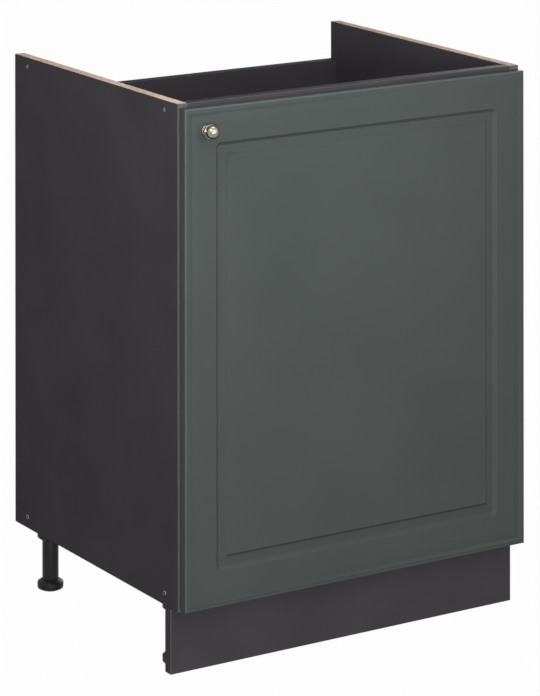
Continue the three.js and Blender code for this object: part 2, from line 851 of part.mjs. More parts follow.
function addHinges() {
  for (const [rowName, z] of Object.entries(hingeRows)) {
    add(`hinge_cup_${rowName}`, hingeCup(z), steel);
    add(`hinge_cup_pin_${rowName}`, cupPinSolid(z), steel);
    add(`hinge_link_${rowName}`, hingeLink(z), steel);
    add(`hinge_arm_${rowName}`, hingeArm(z), steel);
    const pinStart = [armPin.x, armPin.y, z - armHalfHeight];
    add(`hinge_arm_pin_${rowName}`, rod(hingePinRadius, 2 * armHalfHeight, pinStart, [0, 0, 1], 16), steel);
    add(`hinge_plate_${rowName}`, hingePlate(z), steel);
    add(`hinge_arm_screw_${rowName}`, armScrew(z), steel);
  }
}

// ---------------------------------------------------------------- the cabinet

addSides();
addBottom();
addRail("front", rails.front, 0, carcassTop, frontRailHeight);
addRail("back", rails.back, backRailFront, backRailTop, backRailHeight);
addFittings();
addLegs();
addPlinth();
addDoor();
addKnob();
addHinges();

cabinet.position.y = -(frontReach + carcassDepth) / 2;

export default cabinet;
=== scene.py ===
"""Sink base cabinet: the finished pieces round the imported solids, the light and the camera.

Named lengths and profiles are in millimetres. The lights and the camera are in metres, as all
that Blender holds is.
"""

import math

import bmesh
import bpy
from mathutils import Matrix, Vector


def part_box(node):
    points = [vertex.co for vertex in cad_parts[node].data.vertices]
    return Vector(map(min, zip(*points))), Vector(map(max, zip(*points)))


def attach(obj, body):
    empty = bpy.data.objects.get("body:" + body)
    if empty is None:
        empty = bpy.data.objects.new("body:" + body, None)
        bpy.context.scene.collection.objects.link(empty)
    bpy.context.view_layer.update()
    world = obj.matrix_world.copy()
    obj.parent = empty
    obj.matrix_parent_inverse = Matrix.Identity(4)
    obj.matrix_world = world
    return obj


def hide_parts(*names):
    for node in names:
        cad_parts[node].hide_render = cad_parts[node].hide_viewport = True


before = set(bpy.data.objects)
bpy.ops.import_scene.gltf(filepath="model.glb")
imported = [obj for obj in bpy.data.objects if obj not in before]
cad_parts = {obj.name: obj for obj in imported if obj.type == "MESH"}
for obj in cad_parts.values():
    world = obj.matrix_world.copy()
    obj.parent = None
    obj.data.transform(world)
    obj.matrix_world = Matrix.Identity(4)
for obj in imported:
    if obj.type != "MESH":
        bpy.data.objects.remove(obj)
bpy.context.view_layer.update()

MM = 0.001
SIDES = {"left": -1, "right": 1}
ROWS = ("front", "rear")
HINGES = ("lower", "upper")

UP = (0, 0, 1)
DOWN = (0, 0, -1)
LEFTWARD = (-1, 0, 0)
FORWARD = (0, -1, 0)
REARWARD = (0, 1, 0)

CAD_MERGE = 0.005  # joins the loose triangles of a CAD node
AXIS_MERGE = 0.002  # closes a turned piece on its axis
FLAT_WITHIN = 1  # degrees between two triangles of one flat face
SHARP_FROM = 50  # degrees between two faces that meet in an arris
SQUARE = 0.99  # how much of its normal a face that is square to an axis has along it
NEARLY_SQUARE = 0.9  # and one that leans by less than 26 degrees


# ---------------------------------------------------------------- modelling by hand


def clear_selection():
    """Deselects everything, so that a new primitive is selected alone."""
    bpy.ops.object.select_all(action="DESELECT")


def only(*objects):
    """Selects these objects alone; the last one is the active one."""
    clear_selection()
    for thing in objects:
        thing.select_set(True)
    bpy.context.view_layer.objects.active = objects[-1]


def remove(piece):
    """Deletes a template or a cutter that has done its work."""
    only(piece)
    bpy.ops.object.delete()


def edit(piece, mode="FACE"):
    """Opens a piece in edit mode, to work on its faces, edges or vertices."""
    only(piece)
    bpy.ops.object.mode_set(mode="EDIT")
    bpy.ops.mesh.select_mode(type=mode)


def leave():
    """Closes edit mode."""
    bpy.ops.object.mode_set(mode="OBJECT")


def pick_all():
    """In edit mode, selects the whole piece."""
    bpy.ops.mesh.select_all(action="SELECT")


def pick(piece, mode, test):
    """In edit mode, selects the faces, edges or vertices that pass the test, and nothing else."""
    bpy.ops.mesh.select_mode(type=mode)
    bpy.ops.mesh.select_all(action="DESELECT")
    mesh = bmesh.from_edit_mesh(piece.data)
    for element in {"FACE": mesh.faces, "EDGE": mesh.edges, "VERT": mesh.verts}[mode]:
        if test(element):
            element.select = True
    mesh.select_flush_mode()
    bmesh.update_edit_mesh(piece.data)


def pick_faces(piece, test):
    """Selects the faces whose centre and normal pass the test."""
    pick(piece, "FACE", lambda face: test(face.calc_center_median(), face.normal))


def pick_edges(piece, test):
    """Selects the edges whose two ends pass the test."""
    pick(piece, "EDGE", lambda edge: test(edge.verts[0].co, edge.verts[1].co))


def pick_vertices(piece, test):
    """Selects the vertices whose place passes the test."""
    pick(piece, "VERT", lambda vertex: test(vertex.co))


def ease(width, segments=2, clamp_overlap=False):
    """In edit mode, rounds the selected edges."""
    bpy.ops.mesh.bevel(
        offset=width * MM, segments=segments, affect="EDGES", clamp_overlap=clamp_overlap
    )


def face_outwards():
    """In edit mode, turns all faces of a closed piece outwards."""
    pick_all()
    bpy.ops.mesh.normals_make_consistent(inside=False)


def settle(piece):
    """Puts the place, turn and size of an object into its mesh."""
    only(piece)
    bpy.ops.object.transform_apply(location=True, rotation=True, scale=True)


def smooth(piece, degrees=32, weighted=False):
    """Shades a piece smooth where its faces meet at less than that angle."""
    only(piece)
    bpy.ops.object.shade_smooth_by_angle(angle=math.radians(degrees))
    if weighted:
        bpy.ops.object.modifier_add(type="WEIGHTED_NORMAL")
        modifier = piece.modifiers[-1]
        modifier.keep_sharp = True
        bpy.ops.object.modifier_apply(modifier=modifier.name)


def put(piece, origin, direction=UP):
    """Moves a piece that was made at the origin, pointing up, to its place and direction."""
    piece.rotation_mode = "QUATERNION"
    piece.rotation_quaternion = Vector(UP).rotation_difference(Vector(direction))
    piece.location = origin
    settle(piece)


def block(name, low, high, easing=0.0):
    """A board or bar between two corners, with its arrises eased."""
    low, high = Vector(low), Vector(high)
    clear_selection()
    bpy.ops.mesh.primitive_cube_add(size=1, location=(low + high) / 2)
    piece = bpy.context.object
    piece.name = name
    piece.scale = high - low
    settle(piece)
    if easing:
        edit(piece)
        pick_all()
        ease(easing)
        leave()
        smooth(piece, degrees=50, weighted=True)
    return piece


def turned(name, profile, origin=(0, 0, 0), direction=UP, steps=32, degrees=32):
    """A piece turned on a lathe, from a profile of (radius, distance along the axis) points."""
    clear_selection()
    bpy.ops.mesh.primitive_plane_add(size=MM)
    piece = bpy.context.object
    piece.name = name
    edit(piece, "VERT")
    pick_all()
    bpy.ops.mesh.merge(type="CENTER")
    points = [Vector((radius * MM, 0, along * MM)) for radius, along in profile]
    bpy.ops.transform.translate(value=points[0])
    for here, there in zip(points, points[1:]):
        bpy.ops.mesh.extrude_region_move(TRANSFORM_OT_translate={"value": there - here})
    pick_all()
    bpy.ops.mesh.spin(steps=steps, angle=2 * math.pi, center=(0, 0, 0), axis=UP)
    pick_all()
    bpy.ops.mesh.remove_doubles(threshold=AXIS_MERGE * MM)
    face_outwards()
    leave()
    put(piece, origin, direction)
    smooth(piece, degrees)
    return piece


def cutting_rod(sides, radius, length, middle, direction=UP):
    """A plain rod, which is used up in cutting a round or six-sided hole."""
    clear_selection()
    bpy.ops.mesh.primitive_cylinder_add(vertices=sides, radius=radius * MM, depth=length * MM)
    rod = bpy.context.object
    put(rod, middle, direction)
    return rod


def boolean(piece, other, operation="DIFFERENCE"):
    """Cuts a closed shape from a piece, or joins it to the piece, and uses it up."""
    only(piece)
    bpy.ops.object.modifier_add(type="BOOLEAN")
    modifier = piece.modifiers[-1]
    modifier.operation = operation
    modifier.solver = "EXACT"
    modifier.object = other
    bpy.ops.object.modifier_apply(modifier=modifier.name)
    remove(other)


def twin(piece, name, move=(0, 0, 0), mirrored=False):
    """A copy with its own mesh, moved, and before that mirrored in the plane x = 0 if need be."""
    only(piece)
    bpy.ops.object.duplicate()
    copy = bpy.context.object
    copy.name = name
    if mirrored:
        copy.scale.x = -1
        settle(copy)
        edit(copy)
        face_outwards()
        leave()
    copy.location = move
    settle(copy)
    return copy


def place_copy(template, name, origin, direction):
    """A copy of a piece that was made at the origin, pointing up, at its place and direction."""
    copy = twin(template, name)
    put(copy, origin, direction)
    return copy


def joined(name, *pieces):
    """The pieces as one; the last one keeps its settings."""
    only(*pieces)
    bpy.ops.object.join()
    piece = bpy.context.object
    piece.name = name
    return piece


def level(first, second):
    """True where two distances are the same, to a hundredth of a millimetre."""
    return abs(first - second) < 0.01 * MM


def box_of(node):
    """The lowest corner, the highest corner and the middle of a CAD node."""
    low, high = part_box(node)
    return low, high, (low + high) / 2


def on_box_edge(a, b, low, high):
    """True for an edge from a to b that lies in two walls of the box."""
    walls = sum(
        level(a[axis], wall[axis]) and level(b[axis], wall[axis])
        for axis in range(3)
        for wall in (low, high)
    )
    return walls >= 2


def dressed(node, name, easing=0.0, box_only=False):
    """A copy of a CAD node, with its flat faces made whole and its arrises eased.

    With box_only, the arrises that aren't on the edges of the node's box stay sharp.
    """
    only(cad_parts[node])
    bpy.ops.object.duplicate()
    piece = bpy.context.object
    piece.name = name
    for key in list(piece.keys()):
        del piece[key]
    piece.parent = None
    piece.data.materials.clear()
    settle(piece)
    low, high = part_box(node)
    edit(piece, "EDGE")
    pick_all()
    bpy.ops.mesh.remove_doubles(threshold=CAD_MERGE * MM)
    bpy.ops.mesh.dissolve_limited(angle_limit=math.radians(FLAT_WITHIN))
    if easing and box_only:
        pick_edges(piece, lambda a, b: on_box_edge(a, b, low, high))
        ease(easing)
    elif easing:
        bpy.ops.mesh.select_all(action="DESELECT")
        bpy.ops.mesh.edges_select_sharp(sharpness=math.radians(SHARP_FROM))
        ease(easing, clamp_overlap=True)
    leave()
    smooth(piece, degrees=40, weighted=True)
    return piece


def paint(piece, material, test):
    """Adds a material for the faces whose centre and normal pass the test."""
    piece.data.materials.append(material)
    edit(piece)
    pick_faces(piece, test)
    piece.active_material_index = len(piece.data.materials) - 1
    bpy.ops.object.material_slot_assign()
    leave()


def finished(piece, body, slot, material, *nodes):
    """Hangs a piece on the body it moves with, and hides the CAD nodes that it stands for.

    A piece that has no material yet gets this one. The slot is not used.
    """
    if not piece.data.materials:
        piece.data.materials.append(material)
    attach(piece, body)
    if nodes:
        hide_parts(*nodes)


# ---------------------------------------------------------------- materials

NOISE_LOW = 0.3  # nearly all of a noise lies between these two
NOISE_HIGH = 0.7


def linear(colour, share=1.0):
    """A colour as a shader wants it, from 0 to 255 as a screen shows it, and times a share."""
    return tuple(
        value / 255 / 12.92 if value <= 10 else ((value / 255 + 0.055) / 1.055) ** 2.4
        for value in (share * part for part in colour)
    ) + (1.0,)


def grey(value):
    """A plain grey as a shader wants it."""
    return (value, value, value, 1)


class Finish:
    """A material and the few kinds of node that the finishes below are made of."""

    def __init__(self, name, roughness, metallic=0.0, specular=0.5):
        self.material = bpy.data.materials.new(name)
        self.material.use_nodes = True
        self.nodes = self.material.node_tree.nodes
        self.links = self.material.node_tree.links
        self.shader = self.nodes["Principled BSDF"]
        self.shader.inputs["Roughness"].default_value = roughness
        self.shader.inputs["Metallic"].default_value = metallic
        self.shader.inputs["Specular IOR Level"].default_value = specular
        self.place = self.nodes.new("ShaderNodeTexCoord").outputs["Object"]

    def feed(self, socket, value):
        """Links a node's output to a socket, or writes a plain value there."""
        if isinstance(value, bpy.types.NodeSocket):
            self.links.new(value, socket)
        else:
            socket.default_value = value

    def mapping(self, scale):
        """The place on the piece, stretched along its three axes."""
        node = self.nodes.new("ShaderNodeMapping")
        self.links.new(self.place, node.inputs["Vector"])
        node.inputs["Scale"].default_value = scale
        return node.outputs["Vector"]

    def noise(self, scale, detail, vector=None):
        """Soft clouds, or a grain where the scale is high."""
        node = self.nodes.new("ShaderNodeTexNoise")
        self.links.new(vector or self.place, node.inputs["Vector"])
        node.inputs["Scale"].default_value = scale
        node.inputs["Detail"].default_value = detail
        return node.outputs["Fac"]

    def cells(self, scale, vector):
        """Small patches, each of a colour of its own."""
        node = self.nodes.new("ShaderNodeTexVoronoi")
        self.links.new(vector, node.inputs["Vector"])
        node.inputs["Scale"].default_value = scale
        return node.outputs["Color"]

    def span(self, noise, to_low, to_high):
        """A noise stretched over these two values."""
        node = self.nodes.new("ShaderNodeMapRange")
        self.links.new(noise, node.inputs["Value"])
        for key, number in (
            ("From Min", NOISE_LOW),
            ("From Max", NOISE_HIGH),
            ("To Min", to_low),
            ("To Max", to_high),
        ):
            node.inputs[key].default_value = number
        return node.outputs["Result"]

    def mix(self, share, first, second, kind="MIX"):
        """Two colours mixed, or multiplied."""
        node = self.nodes.new("ShaderNodeMix")
        node.data_type = "RGBA"
        node.blend_type = kind
        self.feed(node.inputs["Factor"], share)
        self.feed(node.inputs["A"], first)
        self.feed(node.inputs["B"], second)
        return node.outputs["Result"]

    def clouded(self, noise, dark, light):
        """A colour that drifts between two with a noise."""
        return self.mix(self.span(noise, 0, 1), dark, light)

    def ramp(self, value, *stops):
        """A run of colours, from (position, colour) stops."""
        node = self.nodes.new("ShaderNodeValToRGB")
        self.links.new(value, node.inputs["Fac"])
        elements = node.color_ramp.elements
        while len(elements) < len(stops):
            elements.new(0.5)
        for element, (position, colour) in zip(elements, stops):
            element.position = position
            element.color = colour
        return node.outputs["Color"]

    def grained(self, base, noise, darkest, lightest):
        """A colour that a fine noise darkens and lightens by these shares."""
        grain = self.ramp(noise, (NOISE_LOW, grey(darkest)), (NOISE_HIGH, grey(lightest)))
        return self.mix(1.0, base, grain, "MULTIPLY")

    def bump(self, height, strength, distance):
        """Adds a relief; a second one lies on the first."""
        node = self.nodes.new("ShaderNodeBump")
        self.links.new(height, node.inputs["Height"])
        node.inputs["Strength"].default_value = strength
        node.inputs["Distance"].default_value = distance * MM
        normal = self.shader.inputs["Normal"]
        if normal.is_linked:
            self.links.new(normal.links[0].from_socket, node.inputs["Normal"])
        self.links.new(node.outputs["Normal"], normal)

    def colour(self, value):
        self.feed(self.shader.inputs["Base Color"], value)

    def roughness(self, value):
        self.feed(self.shader.inputs["Roughness"], value)


def melamine(name, colour, roughness):
    """Melamine film with a fine pearl texture and hardly visible clouding."""
    made = Finish(name, roughness, specular=0.015)
    cloud = made.noise(scale=9, detail=3)
    pearl = made.noise(scale=1900, detail=2)
    base = made.clouded(cloud, linear(colour, 0.955), linear(colour, 1.04))
    made.colour(made.grained(base, pearl, 0.9, 1.08))
    made.roughness(made.span(pearl, roughness - 0.05, roughness + 0.06))
    made.bump(pearl, strength=0.25, distance=0.05)
    return made.material


def raw_chipboard():
    """The sawn edge of chipboard: pale and brown chips in layers, with small dark gaps."""
    made = Finish("raw_chipboard", 0.85, specular=0.2)
    along = made.mapping((1, 0.35, 2.2))
    chips = made.ramp(
        made.cells(420, along),
        (0.0, linear((186, 160, 142))),
        (0.35, linear((228, 204, 183))),
        (0.65, linear((238, 217, 198))),
        (1.0, linear((246, 228, 210))),
    )
    gaps = made.ramp(made.cells(1300, along), (0.1, (0.62, 0.58, 0.55, 1)), (0.45, grey(1)))
    patches = made.ramp(
        made.noise(scale=12, detail=2), (0.35, (0.86, 0.87, 0.9, 1)), (0.6, (1.04, 1.0, 0.97, 1))
    )
    made.colour(made.mix(1.0, made.mix(1.0, chips, gaps, "MULTIPLY"), patches, "MULTIPLY"))
    made.bump(made.noise(scale=900, detail=4), strength=0.6, distance=0.25)
    return made.material


def edge_plastic():
    """The glued-on plastic edge: a little smoother and shinier than the board; its lighter grey is
    a painted highlight for the lit edges.
    """
    made = Finish("plastic_edge_band_painted_highlight", 0.45, specular=0.2)
    drawn = made.noise(260, 2, made.mapping((3.0, 3.0, 0.15)))
    made.colour(made.clouded(drawn, linear((86, 84, 87)), linear((98, 96, 99))))
    made.bump(drawn, strength=0.12, distance=0.04)
    return made.material


def door_film(name, dark, light):
    """Satin film drawn over the milled board: a soft orange skin and a trace of fine grain."""
    made = Finish(name, 0.4, specular=0.035)
    cloud = made.noise(scale=6, detail=3)
    skin = made.noise(scale=240, detail=2)
    fine = made.noise(scale=2100, detail=2)
    base = made.clouded(cloud, linear(dark), linear(light))
    made.colour(made.grained(base, fine, 0.95, 1.04))
    made.roughness(made.span(skin, 0.36, 0.45))
    made.bump(skin, strength=0.05, distance=0.25)
    made.bump(fine, strength=0.12, distance=0.03)
    return made.material


def moulded_plastic(name, colour, roughness):
    """Injection-moulded plastic with a spark-eroded texture."""
    made = Finish(name, roughness, specular=0.15)
    cloud = made.noise(scale=40, detail=2)
    spark = made.noise(scale=1500, detail=2)
    made.colour(made.clouded(cloud, linear(colour, 0.92), linear(colour, 1.08)))
    made.roughness(made.span(spark, roughness - 0.08, roughness + 0.08))
    made.bump(spark, strength=0.3, distance=0.06)
    return made.material


def satin_nickel(name, dark, light):
    """Warm satin nickel, brushed round its axis as the knob turned."""
    made = Finish(name, 0.2, metallic=1.0)
    made.shader.inputs["Specular Tint"].default_value = (0.2, 0.19, 0.16, 1)
    brushed = made.noise(900, 3, made.mapping((1, 7, 1)))
    cloud = made.noise(scale=60, detail=2)
    made.colour(made.clouded(cloud, linear(dark), linear(light)))
    made.roughness(made.span(brushed, 0.15, 0.26))
    made.bump(brushed, strength=0.06, distance=0.03)
    return made.material


def plated_steel(name, colour, roughness):
    """Steel with a thin bright plating, faintly clouded."""
    made = Finish(name, roughness, metallic=1.0)
    cloud = made.noise(scale=110, detail=2)
    fine = made.noise(scale=2400, detail=2)
    made.colour(made.clouded(cloud, linear(colour, 0.93), linear(colour)))
    made.roughness(made.span(cloud, roughness - 0.03, roughness + 0.04))
    made.bump(fine, strength=0.15, distance=0.02)
    return made.material


def clear_silicone():
    """Clear soft plastic with a faint haze."""
    made = Finish("clear_silicone", 0.25)
    made.shader.inputs["Transmission Weight"].default_value = 0.75
    made.shader.inputs["IOR"].default_value = 1.43
    haze = made.noise(scale=300, detail=2)
    made.colour(made.clouded(haze, linear((222, 224, 220)), linear((240, 242, 238))))
    made.bump(haze, strength=0.1, distance=0.05)
    return made.material


BOARD = melamine("anthracite_melamine", (72, 69, 72), 0.55)
# a lighter copy of the board for the back rail: painted light in the dim inside
BACK_RAIL_LIGHTER_BOARD = melamine("back_rail_melamine_painted_light", (80, 77, 80), 0.55)
# a lighter copy of the board for the plinth: painted light
PLINTH_LIGHTER_BOARD = melamine("plinth_melamine_painted_light", (75, 72, 75), 0.55)
DARK_PRINT = melamine("dark_rail_print", (38, 36, 38), 0.5)
BOARD_BACK = melamine("door_back_melamine", (80, 83, 82), 0.5)
CHIPBOARD = raw_chipboard()
# the band's grey is lighter than the board's: painted highlight
HIGHLIT_BAND = edge_plastic()
FILM = door_film("door_film", (76, 81, 80), (80, 85, 83))
# a lighter copy of the film on the lit top and left arrises: painted highlight
ARRIS_HIGHLIGHT_FILM = door_film("door_film_painted_highlight", (90, 95, 94), (94, 99, 98))
# a darker copy of the film on the door's edges: painted shade
EDGE_SHADE_FILM = door_film("door_film_painted_shade", (67, 72, 71), (71, 76, 74))
BLACK = moulded_plastic("black_plastic", (34, 32, 35), 0.5)
CAP = moulded_plastic("grey_plastic", (128, 124, 128), 0.22)
NICKEL = satin_nickel("satin_nickel", (142, 137, 122), (156, 151, 136))
# darker nickel for the knob's recesses: painted shade and painted dark reflection
NICKEL_RECESS_SHADE = satin_nickel("nickel_painted_recess_shade", (62, 57, 46), (78, 72, 60))
STEEL = plated_steel("zinc_plated_steel", (196, 198, 200), 0.34)
DARK_STEEL = plated_steel("blackened_steel", (126, 123, 126), 0.3)
HINGE_STEEL = plated_steel("nickel_plated_steel", (206, 203, 196), 0.27)
SILICONE = clear_silicone()


# ---------------------------------------------------------------- boards and edge bands

BOARD_EASING = 0.25
BAND_EASING = 0.3
PLINTH_EASING = 0.9
ROUND_THE_CORNER = 0.2  # how much of its normal a face on an upright arris has along x and y


def board(node, sawn, face=BOARD):
    """A melamine-faced board; sawn tells from its normal whether a face is left raw."""
    piece = dressed(node, f"{node}_board", BOARD_EASING, box_only=True)
    piece.data.materials.append(face)
    paint(piece, CHIPBOARD, lambda centre, normal: sawn(normal))
    finished(piece, "carcass", "carcass_board", face, node)


def make_boards():
    """The side panels, the bottom panel and the two rails."""
    for side in SIDES:
        board(f"side_panel_{side}", lambda normal: abs(normal.z) > SQUARE or normal.y > SQUARE)
    board("bottom_panel", lambda normal: normal.y > SQUARE or abs(normal.x) > SQUARE)
    # the back rail gets the lighter copy of the board: painted light
    for rail, face in (("front_rail", BOARD), ("back_rail", BACK_RAIL_LIGHTER_BOARD)):
        board(rail, lambda normal: max(abs(normal.x), abs(normal.z)) > SQUARE, face)


def make_edge_bands():
    """The bands; on a rail, the upper face has a dark print and only its lip shows the plastic."""
    for name in ("left", "right", "bottom", "front_rail", "back_rail"):
        node = f"edge_band_{name}"
        strip = block(f"{node}_strip", *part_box(node), BAND_EASING)
        # the band's lighter grey stands for the highlight on these edges: painted highlight
        strip.data.materials.append(HIGHLIT_BAND)
        if name.endswith("rail"):
            paint(strip, DARK_PRINT, lambda centre, normal: normal.z > NEARLY_SQUARE)
        finished(strip, "carcass", "edge_band", HIGHLIT_BAND, node)


def make_plinth():
    """The plinth; its upright arrises show the plastic band, whose lighter grey there is a painted
    highlight.
    """
    plinth = block("plinth_front", *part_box("plinth_board"), PLINTH_EASING)
    # the plinth's faces get the lighter copy of the board: painted light
    plinth.data.materials.append(PLINTH_LIGHTER_BOARD)
    # painted highlight: the lighter band on the upright arrises
    paint(
        plinth,
        HIGHLIT_BAND,
        lambda centre, normal: min(abs(normal.x), abs(normal.y)) > ROUND_THE_CORNER,
    )
    finished(plinth, "carcass", "carcass_board", PLINTH_LIGHTER_BOARD, "plinth_board")


# ---------------------------------------------------------------- screws, caps and cams

CONNECTING_SCREW = [
    (0, 0.1), (2.9, 0.1), (3.3, 0.25), (3.65, 0.65), (3.85, 1.3), (3.95, 2.2), (4.9, 2.2),
    (5.0, 2.3), (3.5, 3.5), (3.5, 12), (2.6, 13), (2.6, 48.5), (0.6, 50), (0, 50),
]
HEXAGON_RADIUS = 2.35
HEXAGON_MIDDLE = 0.7
HEXAGON_LENGTH = 5
HOLE_CAP = [
    (0, 0.05), (1.5, 0.17), (2.7, 0.5), (3.5, 0.95), (4.0, 1.5), (4.25, 2.0), (4.9, 2.1),
    (5.0, 2.3), (2.5, 2.6), (2.5, 8.4), (2.0, 8.9), (0, 8.9),
]
SMALL_STEPS = 28  # round a screw or a cap

# a cross-head screw, in shares of its radius and height
HEAD_DOME = [(1.0, 0.35), (0.92, 0.62), (0.76, 0.84), (0.5, 0.97), (0.0, 1.0)]
HEAD_EASING = 0.15  # this one in millimetres
CROSS_ARM = 0.56
CROSS_WIDTH = 0.24
CROSS_DEPTH = 0.55

CAM_EASING = 0.35
CAM_CROSS = {"arm": 4.2, "width": 1.7, "depth": 1.4}


def cross_cutter(arm, width, depth):
    """A plus-shaped bar that cuts the recess of a cross-head screw, from z = 0 down."""
    half = width / 2 * MM
    cutter = block("cutter", (-half, -half, -depth * MM), (half, half, MM))
    edit(cutter)
    pick_faces(cutter, lambda centre, normal: abs(normal.z) < SQUARE)
    reach = (arm - width / 2) * MM
    bpy.ops.mesh.extrude_faces_move(TRANSFORM_OT_shrink_fatten={"value": reach})
    leave()
    return cutter


def screw_head(name, radius, height):
    """A cross-head screw's head on z = 0, pointing up."""
    foot = [(0, 0), (radius - HEAD_EASING, 0), (radius, HEAD_EASING)]
    dome = [(across * radius, up * height) for across, up in HEAD_DOME]
    head = turned(name, foot + dome, steps=SMALL_STEPS)
    cutter = cross_cutter(CROSS_ARM * radius, CROSS_WIDTH * radius, CROSS_DEPTH * height)
    put(cutter, (0, 0, height * MM))
    boolean(head, cutter)
    smooth(head, degrees=30)
    return head


def make_screws_and_caps():
    """The connecting screws with their hexagon sockets, and the caps in the unused holes."""
    screw = turned("screw", CONNECTING_SCREW, steps=SMALL_STEPS)
    boolean(screw, cutting_rod(6, HEXAGON_RADIUS, HEXAGON_LENGTH, (0, 0, HEXAGON_MIDDLE * MM)))
    smooth(screw, degrees=30)
    cap = turned("cap", HOLE_CAP, steps=SMALL_STEPS)
    kinds = (
        ("bottom_screw", screw, DARK_STEEL, "steel"),
        ("hole_cap", cap, CAP, "grey_plastic"),
    )
    for side, sign in SIDES.items():
        for row in ROWS:
            for kind, template, material, slot in kinds:
                node = f"{kind}_{side}_{row}"
                low, high, middle = box_of(node)
                origin = (high.x if sign > 0 else low.x, middle.y, middle.z)
                piece = place_copy(template, f"{node}_turned", origin, (-sign, 0, 0))
                finished(piece, "carcass", slot, material, node)
    remove(screw)
    remove(cap)


def make_cams():
    """The cast cams with their crosses, and the bolts that they draw in."""
    for side in SIDES:
        for rail, outward in (("front", REARWARD), ("back", FORWARD)):
            node = f"rail_cam_{side}_{rail}"
            cam = dressed(node, f"{node}_cast", CAM_EASING)
            low, high, middle = box_of(node)
            face = high.y if outward == REARWARD else low.y
            cutter = cross_cutter(**CAM_CROSS)
            put(cutter, (middle.x, face, middle.z), outward)
            boolean(cam, cutter)
            smooth(cam, degrees=35)
            finished(cam, "carcass", "steel", STEEL, node)
            node = f"rail_bolt_{side}_{rail}"
            bolt = dressed(node, f"{node}_turned")
            finished(bolt, "carcass", "steel", STEEL, node)


# ---------------------------------------------------------------- legs and plinth clips

LEG_STEPS = 48
LEG_PLATE_THICKNESS = 4
LEG_PLATE_CORNER = 7
LEG_PLATE_EASING = 0.6
LEG_SCREW_INSET = 6.5
LEG_SCREW = {"radius": 3.4, "height": 1.6}
COLLAR_BORE = 12.8
COLLAR_RADIUS = 20.0
COLLAR_END = [(14.1, 0), (14.6, 0.3), (19.6, 4.4), (COLLAR_RADIUS, 5.2)]
TUBE_END = [(0, 3), (5.4, 3), (5.4, 0), (11.9, 0), (12.3, 0.2), (12.5, 0.8)]
FOOT = [
    (0, 0), (14.2, 0), (14.9, 0.3), (15.0, 1.6), (17.6, 1.6), (18.6, 2.0), (19.6, 3.0),
    (20.0, 4.2), (20.0, 8.0), (20.0, 11.4), (19.7, 12.0), (18.9, 12.8), (14.4, 15.6),
    (13.6, 16.0), (5.0, 16.0), (5.0, 53.4), (4.4, 54.0), (0, 54.0),
]
NOTCH_HEIGHT = 6.1  # the middle of the ring of facets between 4.2 and 8.0
NOTCH_REACH = 2
NOTCH_RADIUS = 19  # nearer to the axis than this, a facet isn't on the rim
NOTCH_EVERY = 8
NOTCH_FACETS = (3, 4)
NOTCH_BORDER = 0.35
NOTCH_DEPTH = 1.5
CLIP_EASING = 0.4


def leg_socket():
    """The right rear leg's plate and collar, at the leg's own axis."""
    low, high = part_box("leg_socket_right_rear")
    axis = box_of("leg_tube_right_rear")[2]
    plate_low = high.z - LEG_PLATE_THICKNESS * MM
    socket = block(
        "socket",
        (low.x - axis.x, low.y - axis.y, plate_low),
        (high.x - axis.x, high.y - axis.y, high.z),
    )
    edit(socket)
    pick_edges(socket, lambda a, b: abs(a.z - b.z) > MM)
    ease(LEG_PLATE_CORNER, segments=6)
    pick_edges(socket, lambda a, b: level(a.z, plate_low) and level(b.z, plate_low))
    ease(LEG_PLATE_EASING)
    leave()
    height = (high.z - low.z) / MM
    in_plate = height - 1
    profile = [
        (COLLAR_BORE, 0),
        *COLLAR_END,
        (COLLAR_RADIUS, height - 5.5),
        (COLLAR_RADIUS, in_plate),
        (COLLAR_BORE, in_plate),
        (COLLAR_BORE, 0),
    ]
    collar = turned("collar", profile, (0, 0, low.z), steps=LEG_STEPS)
    boolean(socket, collar, "UNION")
    smooth(socket, weighted=True)
    return socket


def leg_tube():
    """The right rear leg's tube, at its own axis."""
    low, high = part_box("leg_tube_right_rear")
    length = (high.z - low.z) / MM
    profile = TUBE_END + [(12.5, length - 1), (12.0, length), (0, length)]
    return turned("tube", profile, (0, 0, low.z), steps=LEG_STEPS)


def in_notch(centre):
    """True on two of every eight facets round the foot's rim."""
    facet = math.floor(math.atan2(centre.y, centre.x) / math.radians(360 / LEG_STEPS))
    at_height = abs(centre.z - NOTCH_HEIGHT * MM) < NOTCH_REACH * MM
    on_rim = math.hypot(centre.x, centre.y) > NOTCH_RADIUS * MM
    return at_height and on_rim and facet % NOTCH_EVERY in NOTCH_FACETS


def leg_foot():
    """A foot with the notches in its rim by which it is turned."""
    foot = turned("foot", FOOT, steps=LEG_STEPS)
    edit(foot)
    pick_faces(foot, lambda centre, normal: in_notch(centre))
    bpy.ops.mesh.inset(
        thickness=NOTCH_BORDER * MM, depth=-NOTCH_DEPTH * MM, use_even_offset=True
    )
    leave()
    smooth(foot)
    return foot


